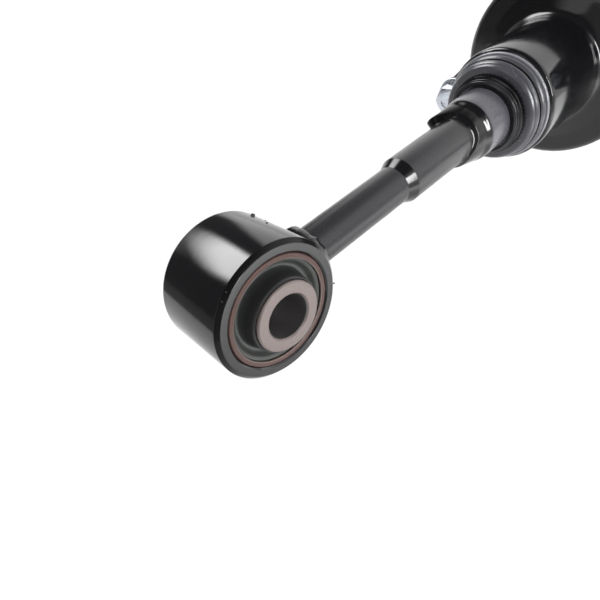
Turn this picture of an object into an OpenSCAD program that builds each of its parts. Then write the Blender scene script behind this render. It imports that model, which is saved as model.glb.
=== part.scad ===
// Rod-type control arm: a welded rubber bush eye at one end, and at the other end
// a stepped spigot held by a laminated axial rubber bush in a two-ear bolt-on bracket.
// Frame: origin at the eye bush centre, +X along the rod to the bracket,
// +Y along the eye's bore, +Z up. All sizes in millimetres.

/* [Eye] */
// Outer radius of the welded eye
eye_r = 22.4; // [21:0.1:26]
// Width of the eye along its bore
eye_w = 30; // [24:1:36]
// Edge chamfer of the eye
eye_chamfer = 1.3; // [0.5:0.1:2]
// Outer radius of the pressed-in steel sleeve
sleeve_r = 18.3; // [17.5:0.1:18.8]
// Wall of the pressed-in steel sleeve
sleeve_wall = 1.5; // [1:0.1:2]
// Length of the pressed-in steel sleeve
sleeve_len = 29.4; // [24:0.2:30]
// Radius of the bolt bore through the inner sleeve
bore_r = 7.1; // [6:0.1:8]
// Outer radius of the inner sleeve
core_r = 11.25; // [10:0.05:12]
// Length of the inner sleeve
core_len = 37; // [32:0.5:42]

/* [Rod] */
// Radius of the slim stretch of the rod next to the eye
rod_r = 7.3; // [6:0.1:8]
// Radius of the thick stretch of the rod
shank_r = 9; // [8.5:0.1:10]
// Where the shoulder cone starts along the rod
shoulder_x = 70.2; // [50:0.1:80]
// Length of the shoulder cone
shoulder_len = 3.9; // [2:0.1:6]
// Where the flare of the shank into the collar starts along the rod
flare_x = 105; // [100:0.1:106]
// Where the front edge of the collar's shoulder lies along the rod
collar_x = 109.6; // [108:0.1:112]
// Radius of the shoulder's front edge
collar_front_r = 11.3; // [10.8:0.1:11.5]
// Length of the tapering shoulder, up to the collar's full radius
collar_taper = 7.8; // [6:0.1:9]
// How far the nose of the shoulder reaches forward of its front edge
nose_reach = 6; // [0:0.5:8]
// Radius of the collar
collar_r = 13; // [12.5:0.1:13.2]
// Radius of the spigot that passes through the axial bush
spigot_r = 8; // [7:0.1:9]

/* [Axial bush] */
// Centre of the axial bush, about which the arm tilts
bush_x = 166; // [160:0.5:170]
// Length of the bush can and of the rubber between its rings
bush_len = 36; // [28:1:38]
// Outer radius of the inner sleeve on the spigot
hub_r = 10.8; // [10.5:0.1:11]
// Outer radius of the inner interleaf ring
inner_ring_r = 14.4; // [14:0.1:14.6]
// Outer radius of the outer interleaf ring
outer_ring_r = 17.4; // [17:0.1:17.6]
// Wall of each interleaf ring
ring_wall = 0.9; // [0.8:0.1:1]

/* [Bracket] */
// Outer radius of the bracket's neck
neck_r = 23.6; // [23:0.1:24.5]
// Where the neck starts along the rod
neck_x = 142; // [141:0.1:143]
// Largest radius of the bracket's flared base
base_r = 41.4; // [38:0.1:44]
// Where the bracket's mounting face lies along the rod
face_x = 204; // [200:1:210]
// Radius of the bolt circle
bolt_circle_r = 55; // [52:0.5:56]
// Angle of the two ears about the rod, from +Y towards +Z
ear_clock = -20.5; // [-30:0.5:30]
// Radius of the bolt's thread
bolt_r = 5; // [4:0.5:6]

/* [Hidden] */
$fn = 96;

// Colours
black_paint = [0.05, 0.05, 0.06];
dark_rubber = [0.10, 0.11, 0.11];
rust_steel = [0.50, 0.38, 0.35];
bare_steel = [0.62, 0.58, 0.57];
zinc = [0.78, 0.81, 0.86];

// Clearances
press = 0.02;
run_gap = 0.05;

// Eye, derived
sleeve_bore_r = sleeve_r - sleeve_wall;
rubber_sink = 3.6;
rubber_collar_r = 14.2;

// Weld bead
bead_r = 2.6;
bead_x = eye_r + 0.4;

// Rod and collar, derived
collar_end_x = 129.4;
collar_round = 0.8;
collar_full_x = collar_x + collar_taper;
collar_skew = [0.6, 0.1];
flare_rise = 1.6;
nose_clock = 52;
nose_r = 9.6;
nose_round = 2.5;

// Boot, lip and lock ring stations along the rod
lip_x = collar_end_x;
lip_len = 1.9;
lip_r = 15.7;
lock_x = lip_x + lip_len + 0.1;
lock_len = 2.2;
lock_root_r = 16.2;
lock_tip_r = 16.9;
lock_teeth = 48;
fold_x = lock_x + lock_len + 0.1;
fold_r = 18.8;
fold_mid_x = 137.4;
fold_mid_r = 21;
support_x = fold_mid_x + 0.1;
support_len = 0.9;
support_r = 21.3;
outer_fold_x = support_x + support_len + 0.1;
band_x = 140.6;
band_len = 1.4;
band_r = 22.5;
fold_wall = 1.4;

// Bush, derived
can_wall = 1.6;
can_overhang = 2;
neck_wall = 2.2;
can_r = neck_r - neck_wall;
bush_front_x = bush_x - bush_len / 2;
bush_rear_x = bush_x + bush_len / 2;
washer_t = 2.4;
hub_front_x = collar_end_x + lip_len + lock_len + 2.4;
hub_rear_x = bush_rear_x + 6.5;

// Spigot end, nut and pin
buffer_len = 3.8;
buffer_r = 16;
rear_washer_x = hub_rear_x;
spring_x = rear_washer_x + washer_t;
spring_t = 2.6;
nut_x = spring_x + spring_t;
nut_len = 11;
castle_len = 4.5;
nut_flats = 24;
thread_r = 7;
spigot_end_x = nut_x + nut_len + castle_len + 2.5;
pin_x = nut_x + nut_len + castle_len / 2;
pin_r = 1.5;

// Bracket, derived
neck_end_x = 182;
base_front_x = 186.7;
cup_r = 30;
ear_r = 9.6;
ear_t = 13;
ear_front_x = face_x - ear_t;
bushing_r = 7.6;
bushing_bore_r = bolt_r + 0.3;
head_t = 6;
flange_r = 10.4;
flange_t = 2;
bolt_washer_t = 1.6;
bolt_shank_r = bolt_r - 0.5;
bolt_reach = 26;

// A solid of revolution about the rod's axis from [x, radius] points
module turned(points) {
    rotate([90, 0, 90])
        rotate_extrude()
            polygon([for (p = points) [p[1], p[0]]]);
}

// A round tube along the rod's axis
module tube_x(x, length, r_out, r_in) {
    translate([x, 0, 0])
        rotate([0, 90, 0])
            difference() {
                cylinder(h = length, r = r_out);
                translate([0, 0, -1])
                    cylinder(h = length + 2, r = r_in);
            }
}

// A straight cylinder along the rod's axis
module bar_x(x, length, r) {
    translate([x, 0, 0])
        rotate([0, 90, 0])
            cylinder(h = length, r = r);
}

// A solid of revolution about the eye's bore from [radius, y] points
module turned_y(points) {
    rotate([-90, 0, 0])
        rotate_extrude()
            polygon(points);
}

// Puts its children at each of the two ears, along the rod's axis
module at_ears() {
    for (turn = [0, 180])
        rotate([ear_clock + turn, 0, 0])
            translate([0, bolt_circle_r, 0])
                children();
}

// Points of a quarter round about a centre, from one angle to another
function arc(cx, cr, r, from, to, steps) =
    [for (i = [0:steps]) let (a = from + (to - from) * i / steps)
        [cx + r * cos(a), cr + r * sin(a)]];

module eye_housing() {
    half = eye_w / 2;
    mouth = 0.6;
    color(black_paint)
        turned_y([
            [sleeve_r + press, -half + mouth],
            [sleeve_r + mouth, -half],
            [eye_r - eye_chamfer, -half],
            [eye_r, -half + eye_chamfer],
            [eye_r, half - eye_chamfer],
            [eye_r - eye_chamfer, half],
            [sleeve_r + mouth, half],
            [sleeve_r + press, half - mouth]
        ]);
}

module eye_weld_bead() {
    color(black_paint)
        difference() {
            turned([
                [bead_x - bead_r - 1, rod_r - 1],
                for (p = arc(bead_x, rod_r + 0.2, bead_r, 100, 8, 10)) p,
                [bead_x + bead_r, rod_r - 1]
            ]);
            rotate([90, 0, 0])
                cylinder(h = eye_w * 2, r = eye_r, center = true);
            bar_x(0, shoulder_x, rod_r);
        }
}

module eye_outer_sleeve() {
    half = sleeve_len / 2;
    roll = 0.5;
    color(rust_steel)
        turned_y([
            [sleeve_bore_r + roll, -half],
            [sleeve_r - roll, -half],
            [sleeve_r, -half + roll],
            [sleeve_r, half - roll],
            [sleeve_r - roll, half],
            [sleeve_bore_r + roll, half],
            [sleeve_bore_r, half - roll],
            [sleeve_bore_r, -half + roll]
        ]);
}

// Half of the rubber's outline, from the sleeve to the core, at one end
function rubber_end(side) = [
    [sleeve_bore_r, side * (sleeve_len / 2 - 1.6)],
    [sleeve_bore_r - 0.8, side * (sleeve_len / 2 - rubber_sink + 0.8)],
    [rubber_collar_r + 0.8, side * (sleeve_len / 2 - rubber_sink)],
    [rubber_collar_r, side * (sleeve_len / 2 - rubber_sink + 1.2)],
    [rubber_collar_r - 0.7, side * (sleeve_len / 2 + 0.6)],
    [core_r + 0.4, side * (sleeve_len / 2 + 1.4)],
    [core_r + run_gap, side * (sleeve_len / 2 + 1)]
];

module eye_rubber() {
    front = rubber_end(-1);
    back = rubber_end(1);
    color(dark_rubber)
        turned_y([
            for (p = front) p,
            for (i = [len(back) - 1:-1:0]) back[i]
        ]);
}

module eye_inner_sleeve() {
    half = core_len / 2;
    edge = 0.5;
    color(bare_steel)
        rotate([90, 0, 0])
            difference() {
                union() {
                    cylinder(h = core_len - 2 * edge, r = core_r, center = true);
                    for (side = [0, 1])
                        mirror([0, 0, side])
                            translate([0, 0, half - edge])
                                cylinder(h = edge, r1 = core_r, r2 = core_r - edge);
                }
                cylinder(h = core_len + 2, r = bore_r, center = true);
            }
}

// The forged shoulder: a slightly skewed cone with a nose on one side of its front edge
module collar_shoulder() {
    front_round = 0.6;
    hull() {
        translate([collar_x, collar_skew[0], collar_skew[1]])
            rotate([0, 90, 0]) {
                cylinder(h = 0.1, r = collar_front_r - front_round);
                translate([0, 0, front_round])
                    cylinder(h = 0.1, r = collar_front_r);
            }
        rotate([nose_clock, 0, 0])
            translate([collar_x - nose_reach + nose_round, nose_r, 0])
                sphere(r = nose_round, $fn = 32);
        bar_x(collar_full_x, 0.5, collar_r);
    }
}

// A point of the concave flare from the shank to the shoulder, for a share of its length
function flare_point(share) = [
    flare_x + (collar_x + 0.6 - flare_x) * share,
    shank_r + flare_rise * pow(share, 2.4)
];

module arm_rod() {
    shank_x = shoulder_x + shoulder_len;
    pin_bore_r = pin_r + 0.2;
    color(black_paint)
        difference() {
            union() {
                turned([
                    [0, 0],
                    [0, rod_r],
                    [shoulder_x, rod_r],
                    [shank_x, shank_r],
                    [flare_x, shank_r],
                    for (i = [1:8]) flare_point(i / 8),
                    [collar_full_x, collar_r - 0.4],
                    [collar_full_x, collar_r],
                    for (p = arc(collar_end_x - collar_round, collar_r - collar_round,
                        collar_round, 90, 30, 6)) p,
                    [collar_end_x, spigot_r],
                    [nut_x, spigot_r],
                    [nut_x, thread_r],
                    [spigot_end_x - 1, thread_r],
                    [spigot_end_x, thread_r - 1],
                    [spigot_end_x, 0]
                ]);
                collar_shoulder();
            }
            rotate([90, 0, 0])
                cylinder(h = eye_w * 2, r = eye_r, center = true);
            translate([pin_x, 0, 0])
                cylinder(h = 6 * thread_r, r = pin_bore_r, center = true);
        }
}

module seal_lip() {
    color(dark_rubber)
        turned([
            [lip_x, spigot_r + run_gap],
            [lip_x, lip_r - 1.4],
            [lip_x + 0.5, lip_r - 0.3],
            [lip_x + 1.1, lip_r],
            [lip_x + lip_len, lip_r - 0.4],
            [lip_x + lip_len, spigot_r + run_gap]
        ]);
}

module toothed_lock_ring() {
    tooth_w = 1.1;
    color(black_paint)
        union() {
            tube_x(lock_x, lock_len, lock_root_r, spigot_r + run_gap);
            for (i = [0:lock_teeth - 1])
                rotate([i * 360 / lock_teeth, 0, 0])
                    translate([lock_x, lock_root_r - 0.5, -tooth_w / 2])
                        cube([lock_len, lock_tip_r - lock_root_r + 0.5, tooth_w]);
        }
}

module boot_inner_fold() {
    color(dark_rubber)
        turned([
            [fold_x, lock_root_r - 2],
            [fold_x, fold_r - 0.6],
            [fold_x + 0.5, fold_r],
            [fold_x + 1.6, fold_r + 1.2],
            [fold_mid_x, fold_mid_r],
            [fold_mid_x, fold_mid_r - fold_wall],
            [fold_x + 1.8, fold_r - fold_wall],
            [fold_x + 1.6, lock_root_r - 2]
        ]);
}

module boot_support_ring() {
    color(black_paint)
        tube_x(support_x, support_len, support_r, support_r - 1.6);
}

module boot_outer_fold() {
    color(dark_rubber)
        turned([
            [outer_fold_x, support_r - fold_wall],
            [outer_fold_x, support_r + 0.1],
            [band_x - 0.1, band_r - 0.6],
            [band_x - 0.1, support_r - fold_wall]
        ]);
}

module boot_clamp_band() {
    color(black_paint)
        turned([
            [band_x, support_r - fold_wall],
            [band_x, band_r - 0.4],
            [band_x + 0.4, band_r],
            [band_x + band_len - 0.1, band_r],
            [band_x + band_len - 0.1, support_r - fold_wall]
        ]);
}

module bush_can() {
    color(rust_steel)
        tube_x(bush_front_x - can_overhang, bush_len + 2 * can_overhang,
            can_r, can_r - can_wall);
}

// One rubber layer of the laminated bush, dished at both ends
module rubber_layer(r_out, r_in, dish) {
    mid = (r_out + r_in) / 2;
    inner = r_in + run_gap;
    color(dark_rubber)
        turned([
            [bush_front_x, inner],
            [bush_front_x + dish, mid],
            [bush_front_x, r_out],
            [bush_rear_x, r_out],
            [bush_rear_x - dish, mid],
            [bush_rear_x, inner]
        ]);
}

module bush_outer_rubber() {
    rubber_layer(can_r - can_wall, outer_ring_r, 1.2);
}

module bush_outer_interleaf() {
    color(bare_steel)
        tube_x(bush_front_x, bush_len, outer_ring_r, outer_ring_r - ring_wall);
}

module bush_middle_rubber() {
    rubber_layer(outer_ring_r - ring_wall, inner_ring_r, 0.9);
}

module bush_inner_interleaf() {
    color(bare_steel)
        tube_x(bush_front_x, bush_len, inner_ring_r, inner_ring_r - ring_wall);
}

module bush_inner_rubber() {
    rubber_layer(inner_ring_r - ring_wall, hub_r, 1);
}

module bush_hub_sleeve() {
    color(bare_steel)
        tube_x(hub_front_x + washer_t, hub_rear_x - hub_front_x - washer_t,
            hub_r, spigot_r + run_gap);
}

module front_limit_washer() {
    color(zinc)
        tube_x(hub_front_x, washer_t, 14, spigot_r + run_gap);
}

module bracket_neck() {
    color(black_paint)
        turned([
            [neck_x, can_r + press],
            [neck_x, neck_r - 0.8],
            [neck_x + 0.8, neck_r],
            [neck_end_x - 1, neck_r],
            [neck_end_x - 1, can_r + press]
        ]);
}

module bracket_base() {
    blend = 4;
    edge = 5;
    start_x = neck_end_x - 1;
    color(black_paint)
        difference() {
            union() {
                turned([
                    [start_x, can_r + press],
                    for (p = arc(start_x, neck_r + blend, blend, -90, -15, 6)) p,
                    for (p = arc(base_front_x + edge, base_r - edge, edge, 160, 90, 8)) p,
                    [face_x, base_r],
                    [face_x, can_r + press]
                ]);
                at_ears()
                    bar_x(ear_front_x, ear_t, ear_r);
                for (turn = [0, 180])
                    rotate([ear_clock + turn, 0, 0])
                        translate([ear_front_x + 1.5, 0, -ear_r])
                            cube([ear_t - 1.5, bolt_circle_r, 2 * ear_r]);
            }
            bar_x(start_x - 1, face_x - start_x, can_r + press);
            bar_x(bush_rear_x + can_overhang, face_x, cup_r);
            at_ears()
                bar_x(ear_front_x - 1, ear_t + 2, bushing_r + press);
        }
}

module ear_bushings() {
    color(zinc)
        at_ears()
            tube_x(ear_front_x, ear_t, bushing_r, bushing_bore_r);
}

module bolt_washers() {
    color(rust_steel)
        at_ears()
            tube_x(ear_front_x - bolt_washer_t, bolt_washer_t, flange_r - 0.2,
                bushing_bore_r);
}

module bracket_bolts() {
    under_head_x = ear_front_x - bolt_washer_t;
    color(zinc)
        at_ears() {
            bar_x(under_head_x - flange_t, flange_t, flange_r);
            translate([under_head_x - flange_t - head_t, 0, 0])
                rotate([0, 90, 0])
                    cylinder(h = head_t, r = 8.1, $fn = 6);
            bar_x(under_head_x - 1, face_x - under_head_x + 2, bolt_shank_r);
            bar_x(face_x, bolt_reach, bolt_r);
        }
}

module rear_buffer() {
    color(dark_rubber)
        tube_x(hub_rear_x - buffer_len, buffer_len - 0.1, buffer_r, hub_r + run_gap);
}

module rear_limit_washer() {
    dish = 1.6;
    color(zinc)
        turned([
            [rear_washer_x, spigot_r + run_gap],
            [rear_washer_x, 17],
            [rear_washer_x - dish, 21],
            [rear_washer_x - dish + washer_t, 21],
            [rear_washer_x + washer_t, 17.6],
            [rear_washer_x + washer_t, spigot_r + run_gap]
        ]);
}

module spring_washer() {
    slot = 1.6;
    color(zinc)
        difference() {
            tube_x(spring_x, spring_t, 12.4, spigot_r + run_gap);
            translate([spring_x - 1, 0, -slot / 2])
                cube([spring_t + 2, 20, slot]);
        }
}

module castle_nut() {
    slots = 3;
    slot_w = 4;
    color(zinc)
        difference() {
            union() {
                translate([nut_x, 0, 0])
                    rotate([0, 90, 0])
                        cylinder(h = nut_len, r = nut_flats / sqrt(3), $fn = 6);
                bar_x(nut_x + nut_len, castle_len, nut_flats / 2 - 1);
            }
            bar_x(nut_x - 1, nut_len + castle_len + 2, thread_r);
            for (i = [0:slots - 1])
                rotate([i * 180 / slots, 0, 0])
                    translate([nut_x + nut_len, -slot_w / 2, -nut_flats])
                        cube([castle_len + 1, slot_w, 2 * nut_flats]);
        }
}

module split_pin() {
    leg = 12.6;
    color(zinc)
        union() {
            translate([pin_x, 0, -leg])
                cylinder(h = 2 * leg, r = pin_r);
            translate([pin_x, 0, leg])
                sphere(r = pin_r * 1.6);
            translate([pin_x, 0, -leg])
                rotate([0, 60, 0])
                    cylinder(h = 7, r = pin_r * 0.7);
        }
}

eye_housing();
eye_weld_bead();
eye_outer_sleeve();
eye_rubber();
eye_inner_sleeve();
arm_rod();
seal_lip();
toothed_lock_ring();
boot_inner_fold();
boot_support_ring();
boot_outer_fold();
boot_clamp_band();
bush_can();
bush_outer_rubber();
bush_outer_interleaf();
bush_middle_rubber();
bush_inner_interleaf();
bush_inner_rubber();
bush_hub_sleeve();
front_limit_washer();
bracket_neck();
bracket_base();
bracket_bolts();
bolt_washers();
ear_bushings();
rear_limit_washer();
rear_buffer();
spring_washer();
castle_nut();
split_pin();
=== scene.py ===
import math
import random

import bmesh
import bpy
from mathutils import Matrix, Vector, noise


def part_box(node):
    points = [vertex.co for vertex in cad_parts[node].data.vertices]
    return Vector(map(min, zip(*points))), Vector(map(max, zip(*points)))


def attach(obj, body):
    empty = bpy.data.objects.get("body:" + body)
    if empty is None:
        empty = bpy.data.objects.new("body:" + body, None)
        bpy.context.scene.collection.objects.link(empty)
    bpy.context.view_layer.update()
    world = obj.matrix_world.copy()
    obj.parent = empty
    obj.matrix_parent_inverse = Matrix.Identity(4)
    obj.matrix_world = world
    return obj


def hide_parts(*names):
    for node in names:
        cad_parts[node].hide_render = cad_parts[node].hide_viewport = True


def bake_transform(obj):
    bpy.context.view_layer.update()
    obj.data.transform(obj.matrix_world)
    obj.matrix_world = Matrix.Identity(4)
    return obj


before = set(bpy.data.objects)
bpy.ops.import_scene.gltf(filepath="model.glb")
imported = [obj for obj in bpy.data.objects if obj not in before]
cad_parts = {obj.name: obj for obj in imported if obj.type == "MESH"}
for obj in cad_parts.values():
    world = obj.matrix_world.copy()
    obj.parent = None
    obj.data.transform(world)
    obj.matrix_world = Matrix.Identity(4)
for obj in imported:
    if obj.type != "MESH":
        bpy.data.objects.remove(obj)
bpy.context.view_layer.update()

MM = 0.001

# ---------------------------------------------------------------- sizes
# Boxes of the CAD nodes give most sizes. The rest repeat the part's own dimensions, or are set
# from the photo, as the collar's outline is. Clock positions run from +Y towards +Z.


def span(node, axis):
    """Lowest and highest value of a node along one axis, 0 to 2."""
    low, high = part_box(node)
    return low[axis], high[axis]


EYE_R = span("eye_housing", 2)[1]
EYE_HALF = span("eye_housing", 1)[1]
SLEEVE_R = span("eye_outer_sleeve", 2)[1]
SLEEVE_HALF = span("eye_outer_sleeve", 1)[1]
SLEEVE_WALL = 1.5 * MM
CORE_R = span("eye_inner_sleeve", 2)[1]
CORE_HALF = span("eye_inner_sleeve", 1)[1]
BORE_R = 7.1 * MM
EYE_CHAMFER = 1.3 * MM

ROD_R = 7.3 * MM
SHANK_R = 9 * MM
SHOULDER_X = 70.2 * MM
SHANK_X = 74.1 * MM
COLLAR_X = 110.2 * MM
COLLAR_FRONT_R = 10.75 * MM
COLLAR_FULL_X = 117.3 * MM
COLLAR_R = 13 * MM
COLLAR_NEAR_CLOCK = 139
NOSE_CLOCK = 48
BELOW_CLOCK = 240
BEHIND_CLOCK = 319
SECOND_RISE = (
    (113.4, 0.0), (113.9, 0.06), (114.4, 0.2), (115.2, 0.51), (115.6, 0.66), (116.0, 0.79),
    (116.5, 0.90), (117.0, 0.96), (117.6, 0.99), (118.4, 1.0),
)
SPIGOT_R = 8 * MM
THREAD_R = 7 * MM
ROD_END = span("arm_rod", 0)[1]

LIP_X, LIP_END = span("seal_lip", 0)
LIP_R = span("seal_lip", 2)[1]
LOCK_X, LOCK_END = span("toothed_lock_ring", 0)
LOCK_TIP_R = span("toothed_lock_ring", 2)[1]
LOCK_ROOT_R = LOCK_TIP_R - 0.4 * MM
LOCK_TEETH = 64
FOLD_X, FOLD_END = span("boot_inner_fold", 0)
FOLD_R = span("boot_inner_fold", 2)[1]
SUPPORT_X, SUPPORT_END = span("boot_support_ring", 0)
SUPPORT_R = span("boot_support_ring", 2)[1]
OUTER_X, OUTER_END = span("boot_outer_fold", 0)
OUTER_R = span("boot_outer_fold", 2)[1]
BAND_X, BAND_END = span("boot_clamp_band", 0)
BAND_R = span("boot_clamp_band", 2)[1]

NECK_X = span("bracket_neck", 0)[0]
FACE_X = span("bracket_base", 0)[1]
NECK_R = 23.6 * MM
NECK_BORE_R = 21.42 * MM
NECK_END = 181 * MM
BASE_X = 186.7 * MM
BASE_R = 41.4 * MM
CUP_R = 30 * MM
EAR_ANGLE = math.radians(-20.5)
BOLT_CIRCLE_R = 55 * MM
EAR_R = 9.6 * MM
EAR_T = 13 * MM
BUSH_FRONT, BUSH_REAR = span("bush_outer_interleaf", 0)
CAN_FRONT, CAN_REAR = span("bush_can", 0)
CAN_R = span("bush_can", 2)[1]
OUTER_RING_R = span("bush_outer_interleaf", 2)[1]
INNER_RING_R = span("bush_inner_interleaf", 2)[1]
RING_WALL = 0.9 * MM
HUB_R = span("bush_hub_sleeve", 2)[1]
HUB_FRONT, HUB_REAR = span("bush_hub_sleeve", 0)
BOLT_LOW, BOLT_END = span("bracket_bolts", 0)
NUT_X, NUT_END = span("castle_nut", 0)
REAR_X, REAR_END = span("rear_limit_washer", 0)
SPRING_X, SPRING_END = span("spring_washer", 0)
BUFFER_X, BUFFER_END = span("rear_buffer", 0)


# ---------------------------------------------------------------- camera, light and floor
FLOOR_TONE = 0.82
FLOOR_EDGE_X = -0.82
FLOOR_FAR = 60
FLOOR_Z = -0.32
FLOOR_POOL_Z = -0.2


def add_camera():
    """A wide lens close to the eye, looking along the rod from above and to its left."""
    place = Vector((-47.6, -102.1, 89.5)) * MM
    turn, down, roll = math.radians(32.18), math.radians(41.24), math.radians(16.46)
    ahead = Vector((math.sin(turn) * math.cos(down), math.cos(turn) * math.cos(down), -math.sin(down)))
    level = Vector((math.cos(turn), -math.sin(turn), 0))
    upright = level.cross(ahead)
    right = level * math.cos(roll) - upright * math.sin(roll)
    up = upright * math.cos(roll) + level * math.sin(roll)
    data = bpy.data.cameras.new("camera")
    data.sensor_width = 36
    data.lens = 27.58
    data.clip_start = 0.005
    data.clip_end = 200
    camera = bpy.data.objects.new("camera", data)
    camera.matrix_world = Matrix((
        (right.x, up.x, -ahead.x, place.x),
        (right.y, up.y, -ahead.y, place.y),
        (right.z, up.z, -ahead.z, place.z),
        (0, 0, 0, 1),
    ))
    bpy.context.scene.collection.objects.link(camera)
    bpy.context.scene.camera = camera


def floor_stretch(name, low_x, high_x, material):
    """One flat stretch of floor between two places along X."""
    bm = bmesh.new()
    corners = ((low_x, -FLOOR_FAR), (high_x, -FLOOR_FAR), (high_x, FLOOR_FAR), (low_x, FLOOR_FAR))
    bm.faces.new([bm.verts.new((x, y, FLOOR_Z)) for x, y in corners])
    mesh = bpy.data.meshes.new(name)
    bm.to_mesh(mesh)
    bm.free()
    floor = bpy.data.objects.new(name, mesh)
    bpy.context.scene.collection.objects.link(floor)
    floor.data.materials.append(material)
    return floor


def add_floor():
    """A plain pale floor, well below the arm.

    Its left stretch is left out of reflections, because the photo's paint reflects a dark place there.
    """
    material = bpy.data.materials.new("floor_white")
    material.use_nodes = True
    shader = material.node_tree.nodes["Principled BSDF"]
    shader.inputs["Base Color"].default_value = (FLOOR_TONE, FLOOR_TONE, FLOOR_TONE, 1)
    shader.inputs["Roughness"].default_value = 0.9
    shader.inputs["Specular IOR Level"].default_value = 0.1
    floor_stretch("floor", FLOOR_EDGE_X, FLOOR_FAR, material)
    floor_stretch("floor_left", -FLOOR_FAR, FLOOR_EDGE_X, material).visible_glossy = False


def add_floor_pool(name, x, y, width, depth, turn, watts):
    """A low panel that brightens a stretch of floor in front. Reflections don't show it."""
    data = bpy.data.lights.new(name, "AREA")
    data.shape = "RECTANGLE"
    data.size = width
    data.size_y = depth
    data.energy = watts
    light = bpy.data.objects.new(name, data)
    light.location = (x, y, FLOOR_POOL_Z)
    light.rotation_euler.z = math.radians(turn)
    light.visible_glossy = False
    bpy.context.scene.collection.objects.link(light)


def maths_node(nodes, links, operation, *values):
    """A Math node whose inputs are numbers or other nodes' outputs."""
    node = nodes.new("ShaderNodeMath")
    node.operation = operation
    for socket, value in zip(node.inputs, values):
        if isinstance(value, (int, float)):
            socket.default_value = value
        else:
            links.new(value, socket)
    return node.outputs["Value"]


class Sky:
    """A studio around the part, made of panels that glow between two azimuths and two elevations.

    Angles are in degrees, azimuth from +X towards +Y. Each panel's edges fade over its softness.
    """

    def __init__(self):
        world = bpy.data.worlds.new("studio")
        world.use_nodes = True
        bpy.context.scene.world = world
        self.nodes, self.links = world.node_tree.nodes, world.node_tree.links
        self.split = self.nodes.new("ShaderNodeSeparateXYZ")
        where = self.nodes.new("ShaderNodeTexCoord").outputs["Generated"]
        self.links.new(where, self.split.inputs["Vector"])
        x, y, z = (self.split.outputs[axis] for axis in "XYZ")
        self.azimuth = self.maths("DEGREES", self.maths("ARCTAN2", y, x))
        self.elevation = self.maths("DEGREES", self.maths("ARCSINE", z))
        self.total = 0.09

    def maths(self, operation, *values):
        return maths_node(self.nodes, self.links, operation, *values)

    def edge(self, angle, place, soft, low, high):
        ramp = self.nodes.new("ShaderNodeMapRange")
        ramp.interpolation_type = "SMOOTHSTEP"
        ramp.inputs["From Min"].default_value = place - soft
        ramp.inputs["From Max"].default_value = place + soft
        ramp.inputs["To Min"].default_value = low
        ramp.inputs["To Max"].default_value = high
        self.links.new(angle, ramp.inputs["Value"])
        return ramp.outputs["Result"]

    def panel(self, strength, azimuths, azimuth_soft, elevations, elevation_soft):
        glow = strength
        for angle, (low, high), soft in (
            (self.azimuth, azimuths, azimuth_soft),
            (self.elevation, elevations, elevation_soft),
        ):
            glow = self.maths("MULTIPLY", glow, self.edge(angle, low, soft, 0, 1))
            glow = self.maths("MULTIPLY", glow, self.edge(angle, high, soft, 1, 0))
        self.total = self.maths("ADD", self.total, glow)

    def finish(self):
        background = self.nodes["Background"]
        background.inputs["Color"].default_value = (1, 1, 1, 1)
        self.links.new(self.total, background.inputs["Strength"])


def add_sky():
    """A white tent with two softboxes, a dark ceiling and a dark gap on the left."""
    below = -100
    sky = Sky()
    sky.panel(1.45, (-100, 53), 3, (below, 42), 10)
    sky.panel(1.5, (-36, -18), 16, (-30, 16), 12)
    sky.panel(0.3, (-190, -100), 3, (below, 25), 12)
    sky.panel(0.15, (106, 190), 6, (below, -1), 2)
    sky.panel(1.0, (160, 190), 8, (below, 40), 10)
    sky.panel(1.1, (53, 76), 3, (below, 11), 4)
    sky.panel(0.5, (76, 108), 4, (below, 28), 6)
    sky.panel(11.2, (73, 117), 5, (35.2, 65), 6.5)
    sky.panel(0.4, (-50, 30), 15, (40, 62), 8)
    sky.panel(28, (-98, -90.7), 0.8, (0, 30.5), 2)
    sky.finish()


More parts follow.
